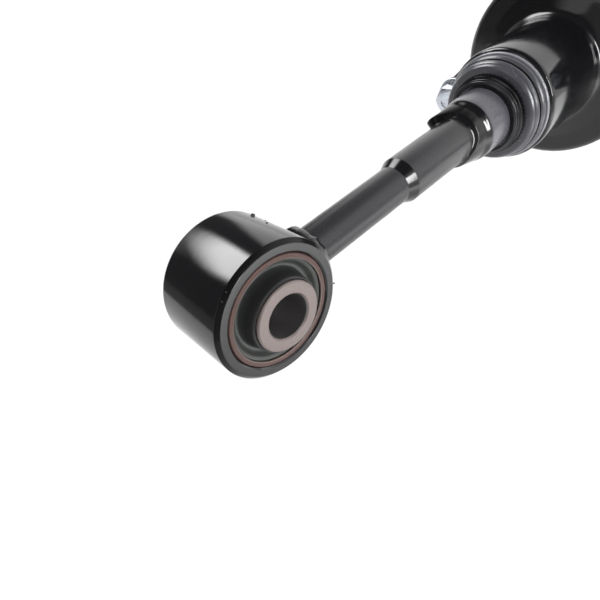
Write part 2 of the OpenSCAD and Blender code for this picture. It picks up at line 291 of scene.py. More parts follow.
# ---------------------------------------------------------------- materials
class Surface:
    """A node material with one Principled shader, and helpers for its procedural detail."""

    def __init__(self, name, colour, roughness, metallic=0.0, coat=0.0, coat_roughness=0.05):
        self.material = bpy.data.materials.new(name)
        self.material.use_nodes = True
        self.nodes = self.material.node_tree.nodes
        self.links = self.material.node_tree.links
        self.shader = self.nodes["Principled BSDF"]
        self.set("Base Color", (*colour, 1))
        self.set("Roughness", roughness)
        self.set("Metallic", metallic)
        self.set("Coat Weight", coat)
        self.set("Coat Roughness", coat_roughness)
        self.where = self.nodes.new("ShaderNodeTexCoord").outputs["Object"]
        self.height = None

    def set(self, socket, value):
        self.shader.inputs[socket].default_value = value

    def noise(self, per_mm, detail=3, roughness=0.55, stretch=(1, 1, 1)):
        """Noise with the given number of features per millimetre."""
        scale = self.nodes.new("ShaderNodeMapping")
        scale.inputs["Scale"].default_value = [per_mm / MM * s for s in stretch]
        self.links.new(self.where, scale.inputs["Vector"])
        node = self.nodes.new("ShaderNodeTexNoise")
        node.inputs["Scale"].default_value = 1
        node.inputs["Detail"].default_value = detail
        node.inputs["Roughness"].default_value = roughness
        self.links.new(scale.outputs["Vector"], node.inputs["Vector"])
        return node.outputs["Fac"]

    def specks(self, spacing_mm, size, share):
        """A mask of small round specks in a share of the cells of a grid of that spacing."""
        scale = self.nodes.new("ShaderNodeVectorMath")
        scale.operation = "SCALE"
        scale.inputs["Scale"].default_value = 1 / (spacing_mm * MM)
        self.links.new(self.where, scale.inputs[0])
        cells = self.nodes.new("ShaderNodeTexVoronoi")
        cells.inputs["Scale"].default_value = 1
        self.links.new(scale.outputs["Vector"], cells.inputs["Vector"])
        near = self.ramp(cells.outputs["Distance"], size, size * 0.5, 0, 1)
        split = self.nodes.new("ShaderNodeSeparateColor")
        self.links.new(cells.outputs["Color"], split.inputs["Color"])
        chosen = self.ramp(split.outputs["Red"], share, share * 0.9, 0, 1)
        return self.maths("MULTIPLY", near, chosen)

    def ramp(self, value, from_min, from_max, to_min, to_max):
        node = self.nodes.new("ShaderNodeMapRange")
        node.inputs["From Min"].default_value = from_min
        node.inputs["From Max"].default_value = from_max
        node.inputs["To Min"].default_value = to_min
        node.inputs["To Max"].default_value = to_max
        self.links.new(value, node.inputs["Value"])
        return node.outputs["Result"]

    def maths(self, operation, *values):
        return maths_node(self.nodes, self.links, operation, *values)

    def distance_from(self, axis):
        """Distance from the row's X or Y axis, in millimetres."""
        flat = self.nodes.new("ShaderNodeVectorMath")
        flat.operation = "MULTIPLY"
        flat.inputs[1].default_value = [0 if i == axis else 1 / MM for i in range(3)]
        self.links.new(self.where, flat.inputs[0])
        length = self.nodes.new("ShaderNodeVectorMath")
        length.operation = "LENGTH"
        self.links.new(flat.outputs["Vector"], length.inputs[0])
        return length.outputs["Value"]

    def tint(self, mask, colour):
        """Mixes the base colour towards another one where the mask is 1."""
        mix = self.nodes.new("ShaderNodeMix")
        mix.data_type = "RGBA"
        mix.inputs["B"].default_value = (*colour, 1)
        base = self.shader.inputs["Base Color"]
        if base.is_linked:
            self.links.new(base.links[0].from_socket, mix.inputs["A"])
        else:
            mix.inputs["A"].default_value = base.default_value
        self.links.new(mask, mix.inputs["Factor"])
        self.links.new(mix.outputs["Result"], base)

    def vary_roughness(self, value, low, high):
        self.links.new(self.ramp(value, 0.3, 0.7, low, high), self.shader.inputs["Roughness"])

    def bump(self, value, depth_mm, strength=1.0):
        """Adds a bump layer whose full height is depth_mm."""
        node = self.nodes.new("ShaderNodeBump")
        node.inputs["Strength"].default_value = strength
        node.inputs["Distance"].default_value = depth_mm * MM
        self.links.new(value, node.inputs["Height"])
        if self.height is not None:
            self.links.new(self.height, node.inputs["Normal"])
        self.height = node.outputs["Normal"]
        self.links.new(self.height, self.shader.inputs["Normal"])


def gloss_paint():
    """Gloss black dip paint: orange peel, a few dust specks and slightly uneven gloss."""
    paint = Surface("gloss_black_paint", (0.0062, 0.0062, 0.0072), 0.11)
    paint.vary_roughness(paint.noise(0.12), 0.09, 0.14)
    paint.bump(paint.noise(0.5, detail=2), 0.008)
    dust = paint.specks(3.4, 0.045, 0.14)
    paint.bump(dust, 0.02)
    paint.tint(dust, (0.1, 0.095, 0.09))
    return paint.material


def satin_paint(name="satin_black_paint", colour=(0.0155, 0.0155, 0.018)):
    """Semi-gloss black on the drawn rod: fine drawing lines and small pits under the paint."""
    paint = Surface(name, colour, 0.26)
    paint.vary_roughness(paint.noise(0.1), 0.2, 0.3)
    paint.bump(paint.noise(1.4, detail=3, stretch=(0.12, 1, 1)), 0.006)
    paint.bump(paint.noise(0.5, detail=2), 0.010)
    pits = paint.specks(5.5, 0.07, 0.2)
    paint.bump(paint.maths("MULTIPLY", pits, -1), 0.06)
    return paint.material


def face_paint():
    """The thinner, finely grained paint on the eye's turned faces."""
    paint = Surface("face_black_paint", (0.016, 0.016, 0.017), 0.2)
    grain = paint.noise(2.4, detail=4, roughness=0.7)
    paint.vary_roughness(grain, 0.16, 0.26)
    paint.bump(grain, 0.006)
    return paint.material


def dull_painted_shade_paint():
    """Dark, dull paint with weak reflections: painted shade on the eye's chamfers and on one side of the
    collar's nose.
    """
    paint = Surface("dull_black_painted_shade", (0.005, 0.005, 0.0055), 0.2)
    paint.set("Specular IOR Level", 0.16)
    paint.bump(paint.noise(0.5, detail=2), 0.008)
    return paint.material


def rust_steel():
    """Dull reddish-brown phosphate on steel, lighter towards the rolled inner edge."""
    steel = Surface("reddish_sleeve_steel", (0.075, 0.036, 0.029), 0.5, metallic=0.2)
    steel.vary_roughness(steel.noise(0.8), 0.42, 0.6)
    steel.tint(steel.ramp(steel.noise(0.35, detail=5), 0.45, 0.7, 0, 0.7), (0.05, 0.034, 0.031))
    radius = steel.distance_from(1)
    edge = steel.ramp(radius, SLEEVE_R / MM - 1.5, SLEEVE_R / MM - 1.7, 0, 0.8)
    steel.tint(edge, (0.24, 0.19, 0.17))
    steel.bump(steel.noise(2.2), 0.012)
    return steel.material


def bare_steel(name="bare_steel", axis=1, colour=(0.20, 0.168, 0.160)):
    """Warm grey phosphated steel with turning rings, a fine blasted grain and a darker bore."""
    steel = Surface(name, colour, 0.42, metallic=0.75)
    grain = steel.noise(3.2, detail=4, roughness=0.7)
    steel.vary_roughness(grain, 0.38, 0.52)
    steel.tint(steel.ramp(steel.noise(1.1, detail=5), 0.52, 0.72, 0, 0.35), (0.26, 0.205, 0.19))
    radius = steel.distance_from(axis)
    if axis == 1:
        steel.tint(steel.ramp(radius, BORE_R / MM + 0.12, BORE_R / MM + 0.02, 0, 1), (0.19, 0.18, 0.182))
    steel.bump(steel.maths("SINE", steel.maths("MULTIPLY", radius, 26)), 0.0015)
    steel.bump(grain, 0.014)
    return steel.material


def zinc_steel():
    """Pale blue passivated zinc plate with a faint iridescent cloudiness."""
    zinc = Surface("zinc_plate", (0.62, 0.66, 0.72), 0.26, metallic=1.0)
    zinc.vary_roughness(zinc.noise(0.9), 0.2, 0.38)
    zinc.tint(zinc.ramp(zinc.noise(0.3, detail=2), 0.45, 0.7, 0, 0.5), (0.62, 0.60, 0.66))
    zinc.bump(zinc.noise(2.4), 0.006)
    return zinc.material


def moulded_rubber():
    """Smooth grey-black natural rubber with a faint greenish bloom, darker on its inner collar."""
    rubber = Surface("moulded_rubber", (0.062, 0.067, 0.063), 0.45)
    rubber.vary_roughness(rubber.noise(0.5, detail=4), 0.36, 0.5)
    rubber.tint(rubber.ramp(rubber.noise(0.22, detail=4), 0.45, 0.75, 0, 0.6), (0.052, 0.055, 0.052))
    radius = rubber.distance_from(1)
    rubber.tint(rubber.ramp(radius, CORE_R / MM + 2.2, CORE_R / MM + 1.3, 0, 0.92), (0.008, 0.008, 0.009))
    dust = rubber.specks(1.8, 0.06, 0.1)
    rubber.tint(dust, (0.12, 0.115, 0.11))
    rubber.bump(rubber.noise(1.6, detail=4), 0.012)
    return rubber.material


def boot_rubber(name="boot_rubber", colour=(0.016, 0.016, 0.019), roughness=0.14):
    """Smooth boot rubber with a crisp sheen and very shallow moulding marks."""
    rubber = Surface(name, colour, roughness)
    rubber.vary_roughness(rubber.noise(0.3), roughness * 0.85, roughness * 1.3)
    rubber.bump(rubber.noise(0.4), 0.004)
    return rubber.material


GLOSS = gloss_paint()
SATIN = satin_paint()
# The collar's black paint gets a grey base colour: a painted reflection of the bright light it reflects.
COLLAR = satin_paint("collar_paint_painted_reflection", (0.078, 0.078, 0.09))
BAND = satin_paint("light_band_paint", (0.25, 0.25, 0.275))
FACE = face_paint()
DULL_PAINTED_SHADE = dull_painted_shade_paint()
RUST = rust_steel()
BARE = bare_steel()
BARE_X = bare_steel("bare_bush_steel", axis=0, colour=(0.34, 0.31, 0.30))
ZINC = zinc_steel()
RUBBER = moulded_rubber()
BOOT = boot_rubber()
# The folds' rubber has a lighter grey base colour than the boot's.
FOLD = boot_rubber("lighter_grey_boot_rubber", (0.072, 0.072, 0.083), 0.22)


# ---------------------------------------------------------------- mesh tools
def rounded(corners, steps=5):
    """A closed outline from (along, radius, fillet) corners, with each fillet as an arc."""
    outline = []
    count = len(corners)
    for i, (a, r, fillet) in enumerate(corners):
        here = Vector((a, r))
        before = Vector(corners[i - 1][:2])
        after = Vector(corners[(i + 1) % count][:2])
        if fillet <= 0:
            outline.append(here)
            continue
        back, ahead = before - here, after - here
        half = back.angle(ahead) / 2
        reach = min(fillet / math.tan(half), 0.49 * back.length, 0.49 * ahead.length)
        radius = reach * math.tan(half)
        centre = here + (back.normalized() + ahead.normalized()).normalized() * (radius / math.sin(half))
        start = here + back.normalized() * reach - centre
        turn = start.angle_signed(here + ahead.normalized() * reach - centre)
        for step in range(steps + 1):
            swing = Matrix.Rotation(-turn * step / steps, 2)
            outline.append(centre + swing @ start)
    return outline


def mirrored(end):
    """Corners of a ring with two alike ends, from those of its + end, inside to outside."""
    return [(-a, r, fillet) for a, r, fillet in end] + end[::-1]


def link(name, bm, material, smooth_angle=38):
    """Turns a bmesh into a linked, smooth-shaded object."""
    bmesh.ops.recalc_face_normals(bm, faces=bm.faces)
    mesh = bpy.data.meshes.new(name)
    bm.to_mesh(mesh)
    bm.free()
    mesh.shade_smooth()
    mesh.set_sharp_from_angle(angle=math.radians(smooth_angle))
    mesh.materials.append(material)
    piece = bpy.data.objects.new(name, mesh)
    bpy.context.scene.collection.objects.link(piece)
    return piece


def place_on(axis, along, radius, angle):
    """A point at a radius about the row's X axis (0) or Y axis (1)."""
    c, s = radius * math.cos(angle), radius * math.sin(angle)
    return (along, c, s) if axis == 0 else (c, along, s)


def loft(bm, rings, closed_ends=False):
    """Joins rings of points with quads. Each ring is closed, and so is the loft unless it has ends."""
    made = [[bm.verts.new(p) for p in ring] for ring in rings]
    pairs = list(zip(made, made[1:]))
    if not closed_ends:
        pairs.append((made[-1], made[0]))
    for low, high in pairs:
        for i in range(len(low)):
            j = (i + 1) % len(low)
            bm.faces.new((low[i], low[j], high[j], high[i]))
    if closed_ends:
        bm.faces.new(made[0][::-1])
        bm.faces.new(made[-1])


def lathe(name, outline, axis, material, segments=192):
    """An object turned from a closed outline of (along, radius) points."""
    bm = bmesh.new()
    turns = [2 * math.pi * i / segments for i in range(segments)]
    loft(bm, [[place_on(axis, a, r, angle) for angle in turns] for a, r in outline])
    return link(name, bm, material)


def bar_outline(corners):
    """Drops corners on the axis to a hairline radius, so that a solid bar stays a lathe."""
    hair = 0.02 * MM
    return [(a, max(r, hair)) for a, r in corners]


def finish_piece(piece, body, slot, *nodes):
    """Puts a piece on its body, in place of the CAD nodes it stands for. The slot is not used."""
    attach(piece, body)
    if nodes:
        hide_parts(*nodes)


def boolean(piece, other, operation):
    """Applies a boolean with another object and removes the other one."""
    modifier = piece.modifiers.new("cut", "BOOLEAN")
    modifier.operation = operation
    modifier.solver = "EXACT"
    modifier.object = other
    apply_modifiers(piece)
    bpy.data.objects.remove(other)


def apply_modifiers(piece):
    """Keeps the mesh that the piece's modifiers make, and drops the modifiers."""
    graph = bpy.context.evaluated_depsgraph_get()
    graph.update()
    mesh = bpy.data.meshes.new_from_object(piece.evaluated_get(graph))
    piece.modifiers.clear()
    piece.data = mesh


# ---------------------------------------------------------------- eye
def eye_housing():
    """The welded eye: a thick ring with chamfered edges whose corners are slightly rounded."""
    half, soft = EYE_HALF, 0.35 * MM
    mouth = 0.55 * MM
    ring = lathe("eye_shell", rounded(mirrored([
        (half - mouth, SLEEVE_R + 0.02 * MM, 0.1 * MM),
        (half, SLEEVE_R + mouth, 0.2 * MM),
        (half, EYE_R - EYE_CHAMFER, soft),
        (half - EYE_CHAMFER, EYE_R, soft),
    ])), 1, GLOSS, segments=256)
    for material in (FACE, DULL_PAINTED_SHADE):
        ring.data.materials.append(material)
    for face in ring.data.polygons:
        radius = math.hypot(face.center.x, face.center.z)
        on_chamfer = abs(face.center.y) > half - EYE_CHAMFER and radius > EYE_R - EYE_CHAMFER
        if abs(face.normal.y) > 0.97:
            face.material_index = 1
        # The chamfers get the dark, dull paint: painted shade.
        elif on_chamfer and abs(face.normal.y) < 0.8:
            face.material_index = 2
    finish_piece(ring, "arm", "black_paint", "eye_housing")


def eye_sleeve():
    """The pressed-in sleeve, with its inner edge rolled over the rubber."""
    half, inner = SLEEVE_HALF, SLEEVE_R - SLEEVE_WALL
    sleeve = lathe("eye_sleeve_ring", rounded(mirrored([
        (half - 1.3 * MM, inner, 0.3 * MM),
        (half - 0.55 * MM, inner - 0.35 * MM, 0.15 * MM),
        (half - 0.15 * MM, inner - 0.25 * MM, 0.2 * MM),
        (half, SLEEVE_R - 0.35 * MM, 0.3 * MM),
        (half - 0.8 * MM, SLEEVE_R, 0.2 * MM),
    ])), 1, RUST, segments=256)
    finish_piece(sleeve, "arm", "rust_steel", "eye_outer_sleeve")


def eye_rubber():
    """The moulded rubber: an outer band, one smooth dish and a thin skin up the side of the core."""
    half, inner = SLEEVE_HALF, SLEEVE_R - SLEEVE_WALL
    rubber = lathe("eye_rubber_ring", rounded(mirrored([
        (half - 1.4 * MM, inner - 0.02 * MM, 0),
        (half - 0.95 * MM, inner - 0.6 * MM, 0.4 * MM),
        (half - 1.6 * MM, inner - 1.5 * MM, 1.2 * MM),
        (half - 3.5 * MM, CORE_R + 3.1 * MM, 2.2 * MM),
        (half - 3.7 * MM, CORE_R + 1.9 * MM, 1.1 * MM),
        (half + 2.2 * MM, CORE_R + 0.8 * MM, 0.5 * MM),
        (half + 2.9 * MM, CORE_R + 0.35 * MM, 0.25 * MM),
        (half + 2.4 * MM, CORE_R + 0.03 * MM, 0),
    ]), steps=7), 1, RUBBER, segments=256)
    finish_piece(rubber, "arm", "black_rubber", "eye_rubber")


def eye_core():
    """The inner sleeve with its turned faces and lightly broken edges."""
    edge = 0.45 * MM
    core = lathe("eye_core_sleeve", rounded(mirrored([
        (CORE_HALF - 0.6 * MM, BORE_R, 0.12 * MM),
        (CORE_HALF, BORE_R + 0.55 * MM, 0.15 * MM),
        (CORE_HALF, CORE_R - edge, 0.15 * MM),
        (CORE_HALF - edge, CORE_R, 0.15 * MM),
    ])), 1, BARE, segments=256)
    finish_piece(core, "eye_core", "bare_steel", "eye_inner_sleeve")


def weld_bead():
    """A rippled fillet weld that follows the joint of the rod and the round eye."""
    bm = bmesh.new()
    around, across = 288, 16
    rings = []
    for i in range(around):
        angle = 2 * math.pi * i / around
        around_x, around_y = 3 * math.cos(angle), 3 * math.sin(angle)
        ripple = 0.12 * math.sin(11 * angle + 1.5 * math.sin(3 * angle))
        lump = 1.0 * noise.noise(Vector((around_x, around_y, 2))) + ripple
        size = (2.9 + lump) * MM
        reach = ROD_R + 0.2 * MM
        y, z = reach * math.cos(angle), reach * math.sin(angle)
        centre = Vector((math.sqrt(EYE_R ** 2 - z ** 2) + 0.9 * MM, y, z))
        out = Vector((0, math.cos(angle), math.sin(angle)))
        along = Vector((1, 0, 0))
        ring = []
        for j in range(across):
            swing = 2 * math.pi * j / across
            flat = 1 if math.cos(swing) > 0 else 0.8
            height = math.cos(swing) * size * flat * 0.85
            ring.append(centre + out * height + along * (math.sin(swing) * size * 1.25))
        rings.append(ring)
    loft(bm, rings)
    bead = link("weld_bead", bm, GLOSS, smooth_angle=70)
    finish_piece(bead, "arm", "black_paint", "eye_weld_bead")


def paint_nibs():
    """Small runs and nibs of dried paint on the eye's edge and beside the weld."""
    rng = random.Random(7)
    bm = bmesh.new()
    spots = (
        (50, 9.0, 0.75), (51, 8.1, 0.4), (53, 0.5, 0.38), (46, 4.5, 0.25),
        (126, -14.6, 0.26), (133, -14.7, 0.2), (36, -14.3, 0.3), (-14, -14.2, 0.3),
    )
    for degrees, y, size in spots:
        angle = math.radians(degrees)
        centre = Vector(place_on(1, y * MM, EYE_R, angle))
        ball = bmesh.ops.create_icosphere(bm, subdivisions=3, radius=size * MM)
        for vert in ball["verts"]:
            vert.co *= 1 + 0.35 * noise.noise(vert.co / MM * 2.2 + Vector((degrees, 0, 0)))
            vert.co.y *= rng.uniform(0.95, 1.05)
            vert.co += centre
    nibs = link("paint_nibs", bm, GLOSS, smooth_angle=80)
    finish_piece(nibs, "arm", "black_paint")


# ---------------------------------------------------------------- rod
def lobe(angle, clock, spread, power):
    """1 at a clock position about the rod, falling to 0 past the spread. All but the angle in degrees."""
    gap = (math.degrees(angle) - clock + 180) % 360 - 180
    return math.exp(-abs(gap / spread) ** power)


def shoulder(angle):
    """Outline of the forged shoulder at one clock angle: concave flare, cone and steeper second rise.

    Its front edge reaches forward below, and runs out into a blunt nose on one side.
    """
    nose = lobe(angle, NOSE_CLOCK, 27, 3)
    below = lobe(angle, BELOW_CLOCK, 55, 4)
    behind = lobe(angle, BEHIND_CLOCK, 35, 2)
    front_x = COLLAR_X - (5.3 * nose + 5.0 * below) * MM
    front_r = COLLAR_FRONT_R + (1.6 * nose - 0.4 * below + 1.5 * behind) * MM
    flare = (5.0 - 2.8 * below - 3.2 * nose) * MM
    points = []
    for k in range(11):
        share = k / 10
        points.append((front_x - flare * (1 - share), SHANK_R + (front_r - SHANK_R - 0.2 * MM) * share ** 4))
    points.append((front_x + 0.15 * MM, front_r - 0.05 * MM))
    points.append((front_x + 0.45 * MM, front_r + 0.05 * MM))
    near = math.cos(angle - math.radians(COLLAR_NEAR_CLOCK))
    rise_r = COLLAR_R - (1.05 + 0.55 * near - 0.3 * nose) * MM
    late = 2.5 * nose * MM
    for x, share in SECOND_RISE:
        points.append((x * MM + late, rise_r + (COLLAR_R - rise_r) * share))
    return points


def rod_ring(a, r, segments):
    return [place_on(0, a, r, 2 * math.pi * i / segments) for i in range(segments)]


def rod():
    """The forged rod with its shoulder cone, its collar and the spigot."""
    inside = 21.3 * MM
    soft = 0.5 * MM
    segments = 192
    front = rounded([
        (inside, 0.5 * MM, 0), (inside, ROD_R, 0), (SHOULDER_X, ROD_R, soft), (SHANK_X, SHANK_R, soft),
        (SHANK_X + 20 * MM, SHANK_R, 0), (SHANK_X + 20 * MM, 0.5 * MM, 0),
    ], steps=6)[:-1]
    back = rounded([
        (LIP_X - 4 * MM, 0.5 * MM, 0), (LIP_X - 4 * MM, COLLAR_R, 0),
        (LIP_X - 0.1 * MM, COLLAR_R, 0.7 * MM), (LIP_X, SPIGOT_R, 0.1 * MM),
        (NUT_X - 0.1 * MM, SPIGOT_R, 0.1 * MM), (NUT_X, THREAD_R * 0.88, 0),
        (NUT_X + 0.4 * MM, THREAD_R * 0.88, 0), (NUT_X + 0.4 * MM, 0.5 * MM, 0),
    ], steps=6)[1:]
    outlines = [shoulder(2 * math.pi * i / segments) for i in range(segments)]
    bm = bmesh.new()
    rings = [rod_ring(a, r, segments) for a, r in front]
    for k in range(len(outlines[0])):
        rings.append([place_on(0, *outlines[i][k], 2 * math.pi * i / segments) for i in range(segments)])
    rings += [rod_ring(a, r, segments) for a, r in back]
    loft(bm, rings, closed_ends=True)
    bar = link("rod_bar", bm, SATIN, smooth_angle=50)
    for material in (GLOSS, COLLAR, DULL_PAINTED_SHADE):
        bar.data.materials.append(material)
    for face in bar.data.polygons:
        x, y, z = face.center
        out, clock = math.hypot(y, z), math.degrees(math.atan2(z, y))
        if SHOULDER_X - 0.4 * MM < x < SHANK_X + 0.3 * MM:
            face.material_index = 1
        # The collar's cylinder gets the grey paint, a painted reflection.
        elif COLLAR_FULL_X - 0.6 * MM < x < LIP_X:
            face.material_index = 2
        elif COLLAR_X - 9 * MM < x < LIP_X and out > SHANK_R + 0.02 * MM:
            # One side of the collar's nose gets the dark, dull paint: painted shade.
            in_painted_shade = (20 < clock < 100 and out > COLLAR_FRONT_R - 0.1 * MM) or 20 < clock < 74
            face.material_index = 3 if in_painted_shade else 1
    finish_piece(bar, "arm", "black_paint", "arm_rod")
    end = threaded("spigot_thread", NUT_X, ROD_END, THREAD_R, 1.5 * MM, SATIN)
    finish_piece(end, "arm", "black_paint")


def threaded(name, x0, x1, radius, pitch, material, at=(0, 0)):
    """A threaded bar along X: a true helix with chamfered ends."""
    bm = bmesh.new()
    depth, chamfer = 0.61 * pitch, 0.9 * pitch
    per_pitch, segments = 8, 56
    count = int((x1 - x0) / pitch * per_pitch)
    rings = []
    for k in range(count + 1):
        x = x0 + (x1 - x0) * k / count
        limit = radius - max(0.0, chamfer - (x1 - x))
        ring = []
        for i in range(segments):
            angle = 2 * math.pi * i / segments
            phase = ((x - x0) / pitch - i / segments) % 1
            ridge = min(1.0, abs(2 * phase - 1) * 1.25)
            r = min(radius - depth * (1 - ridge), limit)
            ring.append((x, at[0] + r * math.cos(angle), at[1] + r * math.sin(angle)))
        rings.append(ring)
    loft(bm, rings, closed_ends=True)
    return link(name, bm, material, smooth_angle=50)


# ---------------------------------------------------------------- boot and rings
def seal_lip():
    """A soft double lip that wipes the collar's end."""
    lip = lathe("seal_lip_ring", rounded([
        (LIP_X + 0.02 * MM, SPIGOT_R + 0.1 * MM, 0),
        (LIP_X + 0.02 * MM, LIP_R - 1.9 * MM, 0.2 * MM),
        (LIP_X - 0.35 * MM, LIP_R - 1.3 * MM, 0.2 * MM),
        (LIP_X - 0.1 * MM, LIP_R - 0.35 * MM, 0.3 * MM),
        (LIP_X + 0.4 * MM, LIP_R - 0.3 * MM, 0.2 * MM),
        (LIP_X + 0.7 * MM, LIP_R - 0.9 * MM, 0.2 * MM),
        (LIP_X + 1.1 * MM, LIP_R - 0.7 * MM, 0.2 * MM),
        (LIP_X + 1.35 * MM, LIP_R, 0.25 * MM),
        (LIP_END - 0.02 * MM, LIP_R, 0.2 * MM),
        (LIP_END - 0.02 * MM, SPIGOT_R + 0.1 * MM, 0),
    ]), 0, BOOT)
    finish_piece(lip, "arm", "black_rubber", "seal_lip")


def toothed_ring():
    """The serrated lock ring: fine rounded teeth along its rear edge, behind a plain rounded rim."""
    bm = bmesh.new()
    per_tooth = 6
    segments = LOCK_TEETH * per_tooth
    shape = (0.0, 0.6, 1.0, 1.0, 0.6, 0.0)
    tip = LOCK_TIP_R - LOCK_ROOT_R
    stations = (
        (LOCK_X, SPIGOT_R + 0.1 * MM, 0), (LOCK_X, LOCK_ROOT_R - 0.6 * MM, 0),
        (LOCK_X + 0.2 * MM, LOCK_ROOT_R - 0.1 * MM, 0), (LOCK_X + 0.5 * MM, LOCK_ROOT_R, 0),
        (LOCK_X + 0.9 * MM, LOCK_ROOT_R - 0.15 * MM, 0), (LOCK_X + 1.1 * MM, LOCK_ROOT_R - 0.7 * MM, 0),
        (LOCK_END - 0.9 * MM, LOCK_ROOT_R - 0.6 * MM, 0), (LOCK_END - 0.75 * MM, LOCK_ROOT_R - 0.1 * MM, 0.8),
        (LOCK_END - 0.1 * MM, LOCK_ROOT_R, 1), (LOCK_END, LOCK_ROOT_R - 0.3 * MM, 0.8),
        (LOCK_END, SPIGOT_R + 0.1 * MM, 0),
    )
    rings = []
    for x, r, tooth in stations:
        rings.append([
            place_on(0, x, r + tooth * shape[i % per_tooth] * tip, 2 * math.pi * i / segments)
            for i in range(segments)
        ])
    loft(bm, rings)
    ring = link("lock_ring", bm, GLOSS, smooth_angle=35)
    finish_piece(ring, "arm", "black_paint", "toothed_lock_ring")


def boot():
    """The boot's two folds and the ring between them."""
    wall = 1.3 * MM
    inner = lathe("boot_front_fold", rounded([
        (FOLD_X + 0.02 * MM, LOCK_ROOT_R - 1.8 * MM, 0),
        (FOLD_X + 0.02 * MM, FOLD_R - 2.2 * MM, 0.4 * MM),
        (FOLD_X + 0.4 * MM, FOLD_R - 1.5 * MM, 0.4 * MM),
        (FOLD_X + 1.3 * MM, FOLD_R - 0.9 * MM, 0.3 * MM),
        (FOLD_X + 1.55 * MM, FOLD_R - 1.25 * MM, 0.15 * MM),
        (FOLD_X + 1.8 * MM, FOLD_R - 0.8 * MM, 0.3 * MM),
        (FOLD_END - 1.2 * MM, FOLD_R - 0.3 * MM, 0.8 * MM),
        (FOLD_END - 0.3 * MM, FOLD_R - 0.1 * MM, 0.2 * MM),
        (FOLD_END - 0.3 * MM, FOLD_R - wall, 0),
        (FOLD_X + 2 * MM, FOLD_R - 2 * MM - wall, 0.4 * MM),
        (FOLD_X + 1.4 * MM, LOCK_ROOT_R - 1.8 * MM, 0),
    ]), 0, FOLD)
    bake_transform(inner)
    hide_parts("boot_inner_fold")
    support = lathe("support_ring", rounded([
        (SUPPORT_X, SUPPORT_R - 1.6 * MM, 0.1 * MM),
        (SUPPORT_X, SUPPORT_R - 0.05 * MM, 0.25 * MM),
        (SUPPORT_END, SUPPORT_R - 0.05 * MM, 0.25 * MM),
        (SUPPORT_END, SUPPORT_R - 1.6 * MM, 0.1 * MM),
    ]), 0, GLOSS)
    finish_piece(support, "inner_interleaf", "black_paint", "boot_support_ring")
    outer = lathe("boot_rear_fold", rounded([
        (OUTER_X, SUPPORT_R - wall, 0),
        (OUTER_X, SUPPORT_R - 0.1 * MM, 0.2 * MM),
        (OUTER_X + 0.7 * MM, OUTER_R - 0.25 * MM, 0.5 * MM),
        (OUTER_END - 0.5 * MM, OUTER_R - 0.15 * MM, 0.4 * MM),
        (OUTER_END, OUTER_R - 0.7 * MM, 0.2 * MM),
        (OUTER_END, SUPPORT_R - wall, 0),
    ]), 0, FOLD)
    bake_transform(outer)
    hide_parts("boot_outer_fold")
    band = lathe("clamp_band", rounded([
        (BAND_X, SUPPORT_R - wall, 0),
        (BAND_X, BAND_R - 0.3 * MM, 0.15 * MM),
        (BAND_X + 0.45 * MM, BAND_R, 0.3 * MM),
        (BAND_END - 0.35 * MM, BAND_R, 0.3 * MM),
        (BAND_END, BAND_R - 0.3 * MM, 0.1 * MM),
        (BAND_END, SUPPORT_R - wall, 0),
    ]), 0, BAND)
    finish_piece(band, "bracket", "band_steel", "boot_clamp_band")


# ---------------------------------------------------------------- bush
def tube(name, x0, x1, outer, inner, material, edge=0.2 * MM):
    return lathe(name, rounded([
        (x0, inner, edge), (x0, outer, edge), (x1, outer, edge), (x1, inner, edge),
    ], steps=3), 0, material, segments=144)


def bush():
    """Can, interleaf rings and hub sleeve, with dished rubber between them.

    The middle and inner layers' bores flare towards both ends, to clear what tilts inside them.
    The CAD solids have no such flare, and the middle layer still meets its ring at full pitch.
    """
    can = tube("bush_can_tube", CAN_FRONT, CAN_REAR, CAN_R, CAN_R - 1.6 * MM, RUST)
    finish_piece(can, "bracket", "rust_steel", "bush_can")
    for name, node, radius, body in (
        ("outer_interleaf_ring", "bush_outer_interleaf", OUTER_RING_R, "outer_interleaf"),
        ("inner_interleaf_ring", "bush_inner_interleaf", INNER_RING_R, "inner_interleaf"),
    ):
        ring = tube(name, BUSH_FRONT, BUSH_REAR, radius, radius - RING_WALL, BARE_X)
        finish_piece(ring, body, "bare_steel", node)
    hub = tube("hub_tube", HUB_FRONT, HUB_REAR, HUB_R, SPIGOT_R + 0.05 * MM, BARE_X, 0.4 * MM)
    finish_piece(hub, "arm", "bare_steel", "bush_hub_sleeve")
    centre, half = (BUSH_FRONT + BUSH_REAR) / 2, (BUSH_REAR - BUSH_FRONT) / 2
    for name, node, outer, inner, dish, tilt, body in (
        ("outer_rubber_layer", "bush_outer_rubber", CAN_R - 1.6 * MM, OUTER_RING_R, 1.4, 0, "bracket"),
        ("middle_rubber_layer", "bush_middle_rubber", OUTER_RING_R - RING_WALL, INNER_RING_R, 1.2, 5.6,
         "outer_interleaf"),
        ("inner_rubber_layer", "bush_inner_rubber", INNER_RING_R - RING_WALL, HUB_R, 1.3, 3.6,
         "inner_interleaf"),
    ):
        gap, deep = 0.03 * MM, dish * MM
        flare = half * math.tan(math.radians(tilt))
        middle = (outer + inner + flare) / 2
        layer = lathe(name, rounded([
            (BUSH_FRONT + 0.3 * MM, inner + gap + flare, 0), (BUSH_FRONT + deep, middle, 0.8 * MM),
            (BUSH_FRONT + 0.3 * MM, outer - gap, 0), (BUSH_REAR - 0.3 * MM, outer - gap, 0),
            (BUSH_REAR - deep, middle, 0.8 * MM), (BUSH_REAR - 0.3 * MM, inner + gap + flare, 0),
            (centre, inner + gap, 0),
        ]), 0, RUBBER, segments=144)
        finish_piece(layer, body, "black_rubber", node)
    low, high = span("front_limit_washer", 0)
    washer_r = span("front_limit_washer", 2)[1]
    washer = tube("front_washer", low, high, washer_r, SPIGOT_R + 0.1 * MM, ZINC, 0.4 * MM)
    finish_piece(washer, "arm", "zinc_steel", "front_limit_washer")


